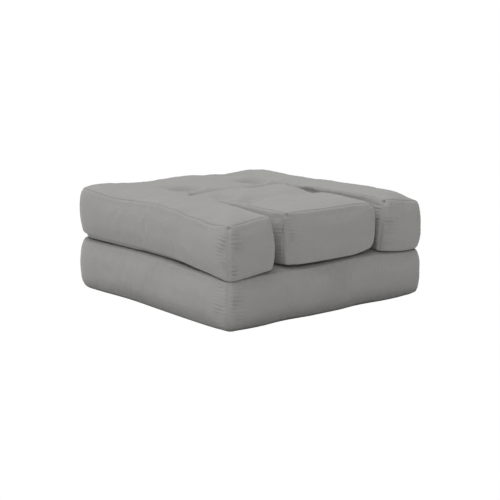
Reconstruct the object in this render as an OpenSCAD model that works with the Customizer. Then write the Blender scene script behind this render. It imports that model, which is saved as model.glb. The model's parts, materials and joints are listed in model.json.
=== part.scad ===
// Chair bed in its stacked form: a base mattress, and on it a U-shaped upper mattress whose
// centre flap folds up as a backrest. The whole upper mattress folds over to the rear as a bed.
// The origin is at the centre of the footprint on the floor, +Y is the rear, +Z is up.

/* [Overall size] */
// Width of the stacked chair bed
chair_w = 900; // [820:10:1200]
// Depth of the stacked chair bed, front to back
chair_d = 950; // [880:10:1100]
// Thickness of one mattress layer
layer_t = 188; // [150:2:220]

/* [Backrest flap] */
// Width of the backrest flap
flap_w = 430; // [300:2:460]
// Length of the flap, from its front to the fold
flap_l = 530; // [460:5:590]
// Gap between the flap and each arm
slit_w = 28; // [20:1:60]

/* [Cushion form] */
// How far a side swells out past its seams
side_swell = 22; // [12:1:28]
// How far the upper cushions rise above their top seams
crown = 16; // [8:1:22]
// How far the base rises above its top seam
base_crown = 10; // [6:1:14]
// Distance from a seam over which the crown rises
crown_reach = 85; // [60:5:120]
// How far the outer sides draw in between their corners
side_draw = 8; // [0:1:12]
// Corner radius of the seams, all but the rear ones
front_r = 14; // [8:1:24]
// Corner radius of the seams at the rear
rear_r = 95; // [40:5:110]

/* [Tufts and channel] */
// Distance between neighbouring tufts of the base and of the flap, left to right
tuft_pitch = 240; // [200:5:270]
// Distance between the two tufts of the rear section
rear_tuft_pitch = 310; // [260:5:380]
// Distance of those two tufts behind the fold
tuft_behind_fold = 90; // [90:5:200]
// Depth of a tuft in the upper cushion
tuft_depth = 28; // [8:1:30]
// Depth of a tuft in the base
base_tuft_depth = 9; // [3:1:12]
// Reach of the hollow round a tuft
tuft_reach = 60; // [40:5:90]
// Distance of the base's two rows of tufts from its front and its rear
tuft_from_front = 270; // [200:5:350]
// Distance of the flap's sewn channel from its front
channel_from_front = 290; // [200:5:350]
// Depth of the flap's sewn channel
channel_depth = 12; // [4:1:18]
// Reach of the hollow along the channel
channel_reach = 45; // [30:5:70]

/* [Filling and cloth] */
// Thickness of a top or bottom panel
cover_t = 3; // [2:0.5:4]
// Thickness of the padded side border at its seams
border_t = 14; // [8:1:20]
// Thickness of the wadding under a foam core
wadding_t = 25; // [12:1:35]
// Depth of the wadding over a foam core, below the top seam
top_fill = 24; // [20:1:35]
// Diameter of a tuft tie
tie_d = 4; // [2:0.5:6]
// Thickness of a hinge strip
strip_t = 2; // [1:0.5:2.5]
// Length of the hinge strip along the rear
rear_strip_l = 620; // [400:10:640]
// Length of the hinge strip at the fold
fold_strip_l = 340; // [200:10:340]

/* [Hidden] */

// Gap between loose pieces
fit = 0.3;
// Half of the gap between two moving pieces
half_gap = 0.15;
// Room that a hole leaves round a tie
tie_room = 0.5;
// How far a cut runs past what it cuts
over = 1;

// Colours of the cloth, the felt, the foam, the ties and the hinge strips
cloth_colour = [0.58, 0.58, 0.57];
felt_colour = [0.88, 0.86, 0.80];
foam_colour = [0.93, 0.90, 0.72];
tie_colour = [0.75, 0.74, 0.70];
strip_colour = [0.45, 0.45, 0.44];

// Grid cells: across the base, across an arm, across the flap and the rear section between the
// arms, along an arm, along the rear section, and along the flap
base_cells = 16;
arm_cells = 4;
mid_cells = 8;
arm_rows = 10;
rear_rows = 10;
flap_cells = 12;
flap_rows = 14;
// Segments of a round corner on an inner slab
corner_steps = 6;

// Share by which grid lines crowd towards the seams
crowd_share = 0.6;
// Sharpness of the crown's shoulder and of the border's swell
shoulder_power = 2.4;
swell_power = 3;
// Heights of the border's rings, as shares of its height
ring_shares = [0, 0.14, 0.5, 0.86, 1];
// Where the drawn-in sides begin and reach their depth, as shares of the half side
draw_start_share = 0.9;
draw_full_share = 0.4;

// Seam rectangles: [x low, x high, y low, y high]
half_w = chair_w / 2 - side_swell;
half_d = chair_d / 2 - side_swell;
fold_y = flap_l - chair_d / 2;
notch_seam = flap_w / 2 + slit_w + side_swell;
fold_seam = fold_y + half_gap + side_swell;
outer = [-half_w, half_w, -half_d, half_d];
flap = [
    side_swell - flap_w / 2, flap_w / 2 - side_swell,
    -half_d, fold_y - half_gap - side_swell
];

// Heights: each cushion's underside, its top seam and its highest point
base_top = layer_t - half_gap;
base_seam = base_top - base_crown;
upper_low = layer_t + half_gap;
upper_top = 2 * layer_t - half_gap;
upper_seam = upper_top - crown;

// Room between the filling and the border round it
side_room = 1.5;
// How far the loose filling stays inside the seams
fill_in = border_t + side_room;

// Tufts
base_tuft_y = chair_d / 2 - tuft_from_front;
base_tufts = [
    for (x = [-tuft_pitch, 0, tuft_pitch], y = [-base_tuft_y, base_tuft_y]) [x, y]
];
upper_tufts = [
    for (x = [-rear_tuft_pitch, rear_tuft_pitch] / 2) [x, fold_y + tuft_behind_fold]
];
channel_y = channel_from_front - chair_d / 2;
flap_tufts = [for (x = [-tuft_pitch, tuft_pitch] / 2) [x, channel_y]];

// Easing from 0 to 1
function ease(t) = let (c = min(max(t, 0), 1)) c * c * (3 - 2 * c);

// Grid lines from a to b in n cells, crowded towards both ends
function lines(n, a, b) = [
    for (i = [0:n]) let (t = i / n)
        a + (b - a) * (crowd_share * (1 - cos(180 * t)) / 2 + (1 - crowd_share) * t)
];

// Joins lists of grid lines that share their end lines
function joined(a, b) = concat(a, [for (i = [1:len(b) - 1]) b[i]]);

// Height share of the crown, d from a seam, and inside a seam rectangle r
function rise(d) = 1 - pow(1 - min(max(d / crown_reach, 0), 1), shoulder_power);
function rise_in(p, r) = rise(p.x - r[0]) * rise(r[1] - p.x) * rise(p.y - r[2]) * rise(r[3] - p.y);

// Depth of the hollows round tufts at p
function hollow(p, tufts, depth, i = 0) = i == len(tufts) ? 0 :
    depth * exp(-pow(norm(p - tufts[i]) / tuft_reach, 2)) + hollow(p, tufts, depth, i + 1);

// Moves a point that is in the square corner beyond c, on the sides s, to a round corner
function rounded(p, c, s) = let (a = s.x * (p.x - c.x), b = s.y * (p.y - c.y))
    a > 0 && b > 0 ? c + max(a, b) / norm([a, b]) * [s.x * a, s.y * b] : p;

// Rounds the four corners of a rectangle r with radii f at the front and b at the back
function round_rect(p, r, f, b) =
    rounded(rounded(rounded(rounded(p,
        [r[0] + f, r[2] + f], [-1, -1]), [r[1] - f, r[2] + f], [1, -1]),
        [r[0] + b, r[3] - b], [-1, 1]), [r[1] - b, r[3] - b], [1, 1]);

// Draws the outer sides in, by nothing at or inside |x| = keep and fully from the border outwards
function drawn(p, keep) =
    let (
        s = abs(p.y) / half_d,
        pull = side_draw * ease((draw_start_share - s) / (draw_start_share - draw_full_share)),
        w = min(max(abs(p.x) - keep, 0) / (half_w - fill_in - keep), 1)
    ) [p.x - sign(p.x) * pull * w, p.y];

// Shrinks a rectangle by d on every side
function shrunk(r, d) = [r[0] + d, r[1] - d, r[2] + d, r[3] - d];

// Plan of each cushion, d inside its seams: the square grid and the same grid on its real outline
function base_grid(d) = let (r = shrunk(outer, d))
    [for (y = lines(base_cells, r[2], r[3])) for (x = lines(base_cells, r[0], r[1])) [x, y]];
function base_plan(p, d) = drawn(round_rect(p, shrunk(outer, d), front_r, rear_r), 0);

function flap_grid(d) = let (r = shrunk(flap, d))
    [for (y = lines(flap_rows, r[2], r[3])) for (x = lines(flap_cells, r[0], r[1])) [x, y]];
function flap_plan(p, d) = round_rect(p, shrunk(flap, d), front_r, front_r);

function upper_grid(d) =
    let (
        r = shrunk(outer, d), inner = notch_seam + d,
        xs = joined(joined(lines(arm_cells, r[0], -inner), lines(mid_cells, -inner, inner)),
            lines(arm_cells, inner, r[1])),
        ys = joined(lines(arm_rows, r[2], fold_seam + d), lines(rear_rows, fold_seam + d, r[3]))
    ) [for (y = ys) for (x = xs) [x, y]];
function upper_plan(p, d) =
    let (
        r = shrunk(outer, d), c = notch_seam + d + front_r,
        q = round_rect(p, r, front_r, rear_r),
        arm = p.y < fold_seam
            ? rounded(rounded(q, [-c, r[2] + front_r], [1, -1]), [c, r[2] + front_r], [-1, -1]) : q
    ) drawn(p.y < fold_seam && abs(p.x) < c && abs(p.x) >= notch_seam ? arm : q, notch_seam);

// Height of each cushion's top at a point p of its square grid, q on its real outline
function base_z(p, q) = base_seam
    + rise_in(p, outer) * (base_crown - hollow(q, base_tufts, base_tuft_depth));
function arm_rise(p) = max(
    rise_in(p, [-half_w, -notch_seam, -half_d, half_d]),
    rise_in(p, [notch_seam, half_w, -half_d, half_d]),
    rise_in(p, [-half_w, half_w, fold_seam, half_d])
);
function upper_z(p, q) = upper_seam + arm_rise(p) * (crown - hollow(q, upper_tufts, tuft_depth));
function flap_z(p, q) = upper_seam
    + rise_in(p, flap) * (crown - channel_depth * exp(-pow((q.y - channel_y) / channel_reach, 2)));

// Grid cells as [column, row] of their low corner
function rect_cells(nx, ny) = [for (j = [0:ny - 1]) for (i = [0:nx - 1]) [i, j]];
upper_nx = 2 * arm_cells + mid_cells;
upper_ny = arm_rows + rear_rows;
upper_cells = [
    for (c = rect_cells(upper_nx, upper_ny))
        if (c[1] >= arm_rows || c[0] < arm_cells || c[0] >= arm_cells + mid_cells) c
];

// The grid points round the edge, anticlockwise seen from above, as [column, row]
function steps_to(a, b) = let (n = max(abs(b[0] - a[0]), abs(b[1] - a[1])))
    [for (i = [0:n - 1]) a + (b - a) * i / n];
function loop(corners) = [
    for (k = [0:len(corners) - 1]) each steps_to(corners[k], corners[(k + 1) % len(corners)])
];
function rect_loop(nx, ny) = loop([[0, 0], [nx, 0], [nx, ny], [0, ny]]);
upper_loop = loop([
    [0, 0], [arm_cells, 0], [arm_cells, arm_rows], [arm_cells + mid_cells, arm_rows],
    [arm_cells + mid_cells, 0], [upper_nx, 0], [upper_nx, upper_ny], [0, upper_ny]
]);

// A closed solid between an upper and a lower sheet over the same grid of nx columns of cells
module between(upper, lower, nx, cells, edge) {
    w = nx + 1;
    n = len(upper);
    m = len(edge);
    at = [for (e = edge) e[1] * w + e[0]];
    faces = concat(
        [for (c = cells) let (a = c[1] * w + c[0]) each [[a, a + w, a + 1], [a + 1, a + w, a + w + 1]]],
        [for (c = cells) let (a = n + c[1] * w + c[0])
            each [[a, a + 1, a + w], [a + 1, a + w + 1, a + w]]],
        [for (k = [0:m - 1]) let (a = at[k], b = at[(k + 1) % m])
            each [[a, b, n + a], [b, n + b, n + a]]]
    );
    polyhedron(concat(upper, lower), faces);
}

// A closed band whose section goes through the rings in turn, each ring anticlockwise from above
module band(rings) {
    m = len(rings);
    n = len(rings[0]);
    faces = [
        for (k = [0:m - 1]) for (i = [0:n - 1])
            let (a = k * n + i, b = k * n + (i + 1) % n, c = (k + 1) % m * n + i,
                d = (k + 1) % m * n + (i + 1) % n)
                each [[a, c, b], [b, c, d]]
    ];
    polyhedron([for (r = rings) each r], faces);
}

// The seam line of a cushion in plan, and that line moved outwards by d
function seam_line(plan, nx, edge) = [for (e = edge) plan[e[1] * (nx + 1) + e[0]]];
function moved_out(line, d) = let (n = len(line)) [
    for (i = [0:n - 1]) let (t = line[(i + 1) % n] - line[(i + n - 1) % n])
        line[i] + d * [t.y, -t.x] / norm(t)
];
function at_z(line, z) = [for (p = line) [p.x, p.y, z]];

// A padded side border between heights low and high that swells out past its seam line
module border(line, low, high) {
    outside = [
        for (s = ring_shares)
            at_z(moved_out(line, side_swell * (1 - pow(abs(2 * s - 1), swell_power))),
                low + (high - low) * s)
    ];
    inside = moved_out(line, -border_t);
    band(concat(outside, [at_z(inside, high), at_z(inside, low)]));
}

// A sheet solid that follows a cushion's top, from drop_a to drop_b below it, or to a flat base
module top_sheet(grid, plan, heights, drop, thick, nx, cells, edge, flat_z = undef) {
    upper = [for (k = [0:len(grid) - 1]) [plan[k].x, plan[k].y, heights[k] - drop]];
    lower = [for (p = upper) [p.x, p.y, is_undef(flat_z) ? p.z - thick : flat_z]];
    between(upper, lower, nx, cells, edge);
}

// A slab over rectangle r with round corners, from low to high
module slab(r, low, high, f, b) {
    arc = [for (i = [0:corner_steps]) 90 * i / corner_steps];
    points = concat(
        [for (a = arc) [r[0] + f, r[2] + f] + f * [cos(180 + a), sin(180 + a)]],
        [for (a = arc) [r[1] - f, r[2] + f] + f * [cos(270 + a), sin(270 + a)]],
        [for (a = arc) [r[1] - b, r[3] - b] + b * [cos(a), sin(a)]],
        [for (a = arc) [r[0] + b, r[3] - b] + b * [cos(90 + a), sin(90 + a)]]
    );
    translate([0, 0, low]) linear_extrude(high - low) polygon(points);
}

// Straight ties at the tufts from low to high, d across
module ties(tufts, low, high, d) {
    for (t = tufts) translate([t.x, t.y, low]) cylinder(h = high - low, d = d, $fn = 24);
}
module tie_holes(tufts) {
    ties(tufts, -over, upper_top + over, tie_d + 2 * tie_room);
}

base_plan_0 = [for (p = base_grid(0)) base_plan(p, 0)];
base_line = seam_line(base_plan_0, base_cells, rect_loop(base_cells, base_cells));
upper_plan_0 = [for (p = upper_grid(0)) upper_plan(p, 0)];
upper_line = seam_line(upper_plan_0, upper_nx, upper_loop);
flap_plan_0 = [for (p = flap_grid(0)) flap_plan(p, 0)];
flap_line = seam_line(flap_plan_0, flap_cells, rect_loop(flap_cells, flap_rows));

// Heights of the filling
base_core_low = cover_t + fit + wadding_t + fit;
base_core_high = base_seam - cover_t - top_fill;
upper_core_low = upper_low + base_core_low;
upper_core_high = upper_seam - cover_t - top_fill;
// How far the top wadding stays under the top panel
top_room = 8;
core_in = fill_in + side_draw;

// Base cushion
module base_top_panel() {
    grid = base_grid(0);
    z = [for (k = [0:len(grid) - 1]) base_z(grid[k], base_plan_0[k])];
    color(cloth_colour)
        top_sheet(grid, base_plan_0, z, 0, cover_t, base_cells,
            rect_cells(base_cells, base_cells), rect_loop(base_cells, base_cells));
}
module base_border() {
    color(cloth_colour) border(base_line, cover_t, base_seam - cover_t);
}
module base_bottom_panel() {
    color(cloth_colour) linear_extrude(cover_t) polygon(base_line);
}
module base_top_wadding() {
    grid = base_grid(fill_in);
    plan = [for (p = grid) base_plan(p, fill_in)];
    z = [for (k = [0:len(grid) - 1]) base_z(grid[k], plan[k])];
    color(felt_colour) difference() {
        top_sheet(grid, plan, z, cover_t + top_room, 0, base_cells,
            rect_cells(base_cells, base_cells), rect_loop(base_cells, base_cells),
            base_core_high + fit);
        tie_holes(base_tufts);
    }
}
module base_foam_core() {
    color(foam_colour) difference() {
        slab(shrunk(outer, core_in), base_core_low, base_core_high, front_r, rear_r);
        tie_holes(base_tufts);
    }
}
module base_bottom_wadding() {
    color(felt_colour) difference() {
        slab(shrunk(outer, core_in), cover_t + fit, base_core_low - fit, front_r, rear_r);
        tie_holes(base_tufts);
    }
}
module base_tuft_ties() {
    color(tie_colour)
        ties(base_tufts, cover_t + fit, base_top - base_tuft_depth - cover_t - top_room, tie_d);
}

// Upper cushion: two arms and a rear section in one cover
module upper_top_panel() {
    grid = upper_grid(0);
    z = [for (k = [0:len(grid) - 1]) upper_z(grid[k], upper_plan_0[k])];
    color(cloth_colour)
        top_sheet(grid, upper_plan_0, z, 0, cover_t, upper_nx, upper_cells, upper_loop);
}
module upper_border() {
    color(cloth_colour) border(upper_line, upper_low + cover_t, upper_seam - cover_t);
}
module upper_bottom_panel() {
    color(cloth_colour) translate([0, 0, upper_low]) linear_extrude(cover_t) polygon(upper_line);
}
module upper_top_wadding() {
    grid = upper_grid(fill_in);
    plan = [for (p = grid) upper_plan(p, fill_in)];
    z = [for (k = [0:len(grid) - 1]) upper_z(grid[k], plan[k])];
    color(felt_colour) difference() {
        top_sheet(grid, plan, z, cover_t + top_room, 0, upper_nx, upper_cells, upper_loop,
            upper_core_high + fit);
        tie_holes(upper_tufts);
    }
}
module arm_core(side) {
    inner = notch_seam + fill_in;
    r = side < 0
        ? [core_in - half_w, -inner, fill_in - half_d, fold_seam + fill_in - fit]
        : [inner, half_w - core_in, fill_in - half_d, fold_seam + fill_in - fit];
    color(foam_colour) slab(r, upper_core_low, upper_core_high, front_r, front_r);
}
module left_arm_core() {
    arm_core(-1);
}
module right_arm_core() {
    arm_core(1);
}
module rear_core() {
    r = [core_in - half_w, half_w - core_in, fold_seam + fill_in, half_d - fill_in];
    color(foam_colour) difference() {
        slab(r, upper_core_low, upper_core_high, front_r, rear_r);
        tie_holes(upper_tufts);
    }
}
module upper_bottom_wadding() {
    inner = notch_seam + fill_in;
    color(felt_colour) difference() {
        slab(shrunk(outer, core_in), upper_low + cover_t + fit, upper_core_low - fit,
            front_r, rear_r);
        translate([-inner, -half_d, upper_low])
            cube([2 * inner, half_d + fold_seam + fill_in, layer_t]);
        tie_holes(upper_tufts);
    }
}
module upper_tuft_ties() {
    color(tie_colour)
        ties(upper_tufts, upper_low + cover_t + fit, upper_top - tuft_depth - cover_t - top_room,
            tie_d);
}

// Backrest flap
module backrest_top_panel() {
    grid = flap_grid(0);
    z = [for (k = [0:len(grid) - 1]) flap_z(grid[k], flap_plan_0[k])];
    color(cloth_colour)
        top_sheet(grid, flap_plan_0, z, 0, cover_t, flap_cells,
            rect_cells(flap_cells, flap_rows), rect_loop(flap_cells, flap_rows));
}
module backrest_border() {
    color(cloth_colour) border(flap_line, upper_low + cover_t, upper_seam - cover_t);
}
module backrest_bottom_panel() {
    color(cloth_colour) translate([0, 0, upper_low]) linear_extrude(cover_t) polygon(flap_line);
}
module backrest_top_wadding() {
    grid = flap_grid(fill_in);
    plan = [for (p = grid) flap_plan(p, fill_in)];
    z = [for (k = [0:len(grid) - 1]) flap_z(grid[k], plan[k])];
    color(felt_colour) difference() {
        top_sheet(grid, plan, z, cover_t + top_room, 0, flap_cells,
            rect_cells(flap_cells, flap_rows), rect_loop(flap_cells, flap_rows),
            upper_core_high + fit);
        tie_holes(flap_tufts);
    }
}
module backrest_foam_core() {
    color(foam_colour) difference() {
        slab(shrunk(flap, fill_in), upper_core_low, upper_core_high, front_r, front_r);
        tie_holes(flap_tufts);
    }
}
module backrest_bottom_wadding() {
    color(felt_colour) difference() {
        slab(shrunk(flap, fill_in), upper_low + cover_t + fit, upper_core_low - fit,
            front_r, front_r);
        tie_holes(flap_tufts);
    }
}
module backrest_tuft_ties() {
    color(tie_colour)
        ties(flap_tufts, upper_low + cover_t + fit, upper_top - channel_depth - cover_t - top_room,
            tie_d);
}

// A hinge strip's leaf: its section [y, z] run along X for a length l
module leaf(section, l) {
    color(strip_colour) translate([-l / 2, 0, 0]) rotate([90, 0, 90])
        linear_extrude(l) polygon(section);
}
module rear_strip_base_leaf() {
    a = half_d + fit;
    b = chair_d / 2;
    leaf([[a, base_seam - strip_t], [b, base_top - strip_t], [b, base_top], [a, base_seam]],
        rear_strip_l);
}
module rear_strip_upper_leaf() {
    a = half_d + fit;
    b = chair_d / 2;
    leaf([[a, upper_low], [b, upper_low], [b, upper_low + strip_t], [a, upper_low + strip_t]],
        rear_strip_l);
}
module fold_leaf(a, b) {
    leaf([[a, upper_seam - strip_t], [b, upper_seam - strip_t], [b, upper_seam], [a, upper_seam]],
        fold_strip_l);
}
module fold_strip_rear_leaf() {
    fold_leaf(fold_y + half_gap, fold_seam - fit);
}
module fold_strip_backrest_leaf() {
    fold_leaf(flap[3] + fit, fold_y - half_gap);
}

base_top_panel();
base_border();
base_bottom_panel();
base_top_wadding();
base_foam_core();
base_bottom_wadding();
base_tuft_ties();
upper_top_panel();
upper_border();
upper_bottom_panel();
upper_top_wadding();
left_arm_core();
right_arm_core();
rear_core();
upper_bottom_wadding();
upper_tuft_ties();
backrest_top_panel();
backrest_border();
backrest_bottom_panel();
backrest_top_wadding();
backrest_foam_core();
backrest_bottom_wadding();
backrest_tuft_ties();
rear_strip_base_leaf();
rear_strip_upper_leaf();
fold_strip_rear_leaf();
fold_strip_backrest_leaf();
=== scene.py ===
"""Looks of a chair bed: three padded cushions in grey cotton, their hinge strips and fillings."""

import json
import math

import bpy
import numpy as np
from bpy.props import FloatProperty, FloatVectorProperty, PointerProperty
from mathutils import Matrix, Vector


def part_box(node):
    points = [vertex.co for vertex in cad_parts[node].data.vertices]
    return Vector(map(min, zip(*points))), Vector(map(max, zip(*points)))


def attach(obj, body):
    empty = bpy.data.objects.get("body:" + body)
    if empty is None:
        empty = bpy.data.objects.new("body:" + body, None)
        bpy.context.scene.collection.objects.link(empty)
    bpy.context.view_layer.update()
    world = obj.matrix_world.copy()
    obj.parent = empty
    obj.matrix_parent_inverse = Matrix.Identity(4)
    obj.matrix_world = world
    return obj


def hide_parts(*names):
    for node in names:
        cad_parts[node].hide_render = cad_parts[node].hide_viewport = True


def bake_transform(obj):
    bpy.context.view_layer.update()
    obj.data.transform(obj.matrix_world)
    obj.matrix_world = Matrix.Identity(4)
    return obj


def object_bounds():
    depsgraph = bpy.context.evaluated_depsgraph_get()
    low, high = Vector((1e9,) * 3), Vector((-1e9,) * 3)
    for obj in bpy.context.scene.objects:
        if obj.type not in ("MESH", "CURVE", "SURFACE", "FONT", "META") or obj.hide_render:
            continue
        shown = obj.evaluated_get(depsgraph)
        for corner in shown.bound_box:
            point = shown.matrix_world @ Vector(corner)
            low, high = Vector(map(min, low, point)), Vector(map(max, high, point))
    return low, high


bl_info = {
    "name": "Chair bed",
    "version": (1, 0, 0),
    "blender": (4, 5, 0),
    "location": "3D View > Sidebar > Chair bed",
    "description": "Covers, seams, hinge strips and fillings of a folding chair bed",
    "category": "Add Mesh",
}

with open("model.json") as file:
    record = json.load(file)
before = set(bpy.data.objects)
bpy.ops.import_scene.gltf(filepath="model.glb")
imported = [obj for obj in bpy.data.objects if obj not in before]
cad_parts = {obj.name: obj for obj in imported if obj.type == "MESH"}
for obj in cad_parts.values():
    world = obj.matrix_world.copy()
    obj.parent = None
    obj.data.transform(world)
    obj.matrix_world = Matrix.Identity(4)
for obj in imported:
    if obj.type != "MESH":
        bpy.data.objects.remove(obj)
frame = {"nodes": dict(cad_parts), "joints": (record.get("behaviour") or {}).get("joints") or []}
CAD_BOX = [list(corner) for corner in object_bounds()]
MM = 0.001
TAU = 2 * math.pi

# Places that come from the frame: the two fold lines, and the seam rectangles of the cushions
JOINTS = {joint["name"]: Vector(joint["pos_m"]) for joint in frame["joints"]}
REAR_PIVOT = JOINTS["upper_fold"]
FOLD_PIVOT = JOINTS["backrest_fold"]
OUTER_LOW, OUTER_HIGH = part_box("base_bottom_panel")
FLAP_LOW, FLAP_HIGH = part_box("backrest_bottom_panel")
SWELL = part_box("base_border")[1].x - OUTER_HIGH.x
LAYER = REAR_PIVOT.z
TOP = 2 * LAYER
NOTCH = min(abs(v.co.x) for v in frame["nodes"]["upper_bottom_panel"].data.vertices
            if v.co.y < FOLD_PIVOT.y)

# Half the gap between moving cushions, and the gap between seam and fold line at the backrest
HALF_GAP = 0.15 * MM
FOLD_SEAM_GAP = 5 * MM

# Corner radii of the seams, and how far the sides draw in, where, and over what reach
FRONT_RADIUS = 14 * MM
REAR_RADIUS = 95 * MM
NOTCH_RADIUS = 48 * MM
# How far the arms' inner walls lie towards the flap, on top behind and underneath in front; the
# distances over which that fades; and the least distance of those walls from the middle
LEAN_REAR = 34 * MM
LEAN_UNDER = 22 * MM
LEAN_WIDTH = 90 * MM
LEAN_LENGTH = 430 * MM
LEAN_FADE = 110 * MM
SLIT_WALL = 229 * MM
DRAW = 8 * MM
DRAW_AT = 40 * MM
DRAW_REACH = 220 * MM

# The crown rises over these distances from the upper and the lower seam
TOP_REACH = 85 * MM
UNDER_REACH = 26 * MM
SHOULDER = 2.4
# The border's swell: a power of the height and one of the whole
SWELL_POWER = 2.5
SWELL_ROUND = 0.5

# Depth and reach of a tuft's hollow and of the sewn channel
TUFT_SINK = 36 * MM
TUFT_REACH = 50 * MM
CHANNEL_SINK = 11 * MM
CHANNEL_REACH = 45 * MM

# Unevenness of the cloth, as rows of height and size in millimetres and a seed
TOP_SWELLS = (1.6, 210, 11), (0.5, 60, 12)
SIDE_SWELLS = (1.8, 190, 21), (0.5, 55, 22)
# Gathers at the seams: height, and how far they run over a panel and over the border
GATHER = 0.9 * MM
SIDE_GATHER = 0.8 * MM
GATHER_RUN = 20 * MM
SIDE_GATHER_RUN = 22 * MM
GATHER_START = 5 * MM
# A tuft's rays lie this far round it, and are this wide
RAY_RING = 34 * MM
RAY_WIDTH = 20 * MM
# A corner's dimple: its depth, its reach, and its place below the upper seam
DIMPLE_SINK = 9 * MM
DIMPLE_REACH = 5 * MM
DIMPLE_DOWN = 8 * MM
CREASE_PITCH = 18 * MM
# Bumps of the cloth's weave and of its fine ripples, and from one ripple to the next
WEAVE_BUMP = 0.3 * MM
RIPPLE_BUMP = 0.4 * MM
RIPPLE_PITCH = 16 * MM

# Grid: spacing of the lines, and the extra lines close to each seam
STEP = 6 * MM
ROW_STEP = 3 * MM
NEAR_SEAM = tuple(d * MM for d in (0, 1.5, 3.5, 6, 9, 13, 18))
# The coarser grid that the cloth's movement is worked out on, and its number of frames
CAGE_STEP = 15 * MM
CAGE_ROW = 17 * MM
FRAMES = 20
# Row and column steps round a cell, and the same corners seen from below
AROUND = np.array([(0, 0), (0, 1), (1, 1), (1, 0)])
FLIPPED = [0, 3, 2, 1]

# Felt: its distance from the seams, and the least distance below its cover
FELT_MARGIN = 17 * MM
FELT_BELOW = 5 * MM
# Thickness of the hinge strips' cloth and of the thread
STRIP_THICK = 1.2 * MM
THREAD = 1.1 * MM
# The photograph's camera and its way of looking, and the way to the lamp
CAMERA_PLACE = (-3.0026, -3.6978, 1.1173)
CAMERA_WAY = (0.62149, 0.75769, -0.19926)
LAMP_WAY = (-0.44, 0.12, 0.88)
WHITE = (1, 1, 1, 1)


def tie_places(node):
    """Plan places of the two outermost ties of a node, in its one row."""
    low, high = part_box(node)
    middle, radius = (low.y + high.y) / 2, (high.y - low.y) / 2
    return [(low.x + radius, middle), (high.x - radius, middle)]


REAR_TUFTS = tie_places("upper_tuft_ties")
FLAP_TUFTS = tie_places("backrest_tuft_ties")
CHANNEL_Y = FLAP_TUFTS[0][1]


def bumps(p, table):
    """Sum of round swells at p. Each row gives x, y, reach and height in millimetres."""
    total = np.zeros(p.shape[:-1])
    for x, y, reach, height in table:
        away = (p[..., 0] - x * MM) ** 2 + (p[..., 1] - y * MM) ** 2
        total += height * MM * np.exp(-away / (reach * MM) ** 2)
    return total


def dish(p, places, reach):
    """Craters with steep walls at the given places, 1 deep in the middle."""
    away = [np.hypot(p[..., 0] - x, p[..., 1] - y) / reach for x, y in places]
    return sum(np.exp(-(r ** 3)) for r in away)


def field(p, stations, reach):
    """Height at p from stations that give x, y and height in millimetres, blended over reach."""
    places = np.array(stations, float) * MM
    away = ((p[..., None, :] - places[:, :2]) ** 2).sum(-1) / (reach * MM) ** 2
    weight = np.exp(away.min(-1, keepdims=True) - away)
    return (weight @ places[:, 2]) / weight.sum(-1)


def ease(t):
    """Easing from 0 to 1."""
    t = np.clip(t, 0, 1)
    return t * t * (3 - 2 * t)


def waves(p, size, seed, count=12):
    """Smooth unevenness at points p, about -1 to 1, with swells about size apart."""
    rng = np.random.RandomState(seed)
    total = np.zeros(p.shape[:-1])
    for _ in range(count):
        way = rng.normal(size=p.shape[-1])
        way *= TAU / (size * rng.uniform(0.75, 1.5) * np.linalg.norm(way))
        total += np.sin(p @ way + rng.uniform(0, TAU))
    return total / math.sqrt(count)


def swells(p, table):
    """Sum of uneven swells at p. Each row gives height and size in millimetres, and a seed."""
    return sum(height * MM * waves(p, size * MM, seed) for height, size, seed in table)


def lines(low, high, step, near):
    """Grid lines from low to high, about step apart, with extra ones near both ends."""
    count = max(1, round((high - low - 2 * near[-1]) / step))
    middle = np.linspace(low + near[-1], high - near[-1], count + 1)
    start = [low + d for d in near[:-1]]
    return np.concatenate([start, middle, [high - d for d in near[:-1]][::-1]])


def chain(stops, step, near):
    """Grid lines through all stops, and the place of each stop among them."""
    found, places = np.array(stops[:1]), [0]
    for low, high in zip(stops, stops[1:]):
        found = np.concatenate([found, lines(low, high, step, near)[1:]])
        places.append(len(found) - 1)
    return found, places


def rounded(p, corner, sides, radius):
    """Moves the points in a square corner on to a round one."""
    centre = np.array(corner) - np.array(sides) * radius
    q = (p - centre) * sides
    inside = (q > 0).all(-1)
    scale = q.max(-1) / np.maximum(np.linalg.norm(q, axis=-1), 1e-9)
    moved = centre + q * scale[..., None] * sides
    return np.where(inside[..., None], moved, p)


def filled(p, corner, sides, radius):
    """Moves the points near an inner corner so that its outline is round."""
    away = np.clip(np.linalg.norm(p - corner, axis=-1) / radius, 0, 1)
    amount = radius / 2 * (1 - away) ** 2 * (1 + away)
    return p + amount[..., None] * np.array(sides)


def spread(values, old, new, axis):
    """Values on the old grid lines, taken linearly to the new ones."""
    k = np.clip(np.searchsorted(old, new, side="right") - 1, 0, len(old) - 2)
    share = ((new - old[k]) / (old[k + 1] - old[k])).reshape([-1] + [1] * (values.ndim - 1 - axis))
    return np.take(values, k, axis) * (1 - share) + np.take(values, k + 1, axis) * share


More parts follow.
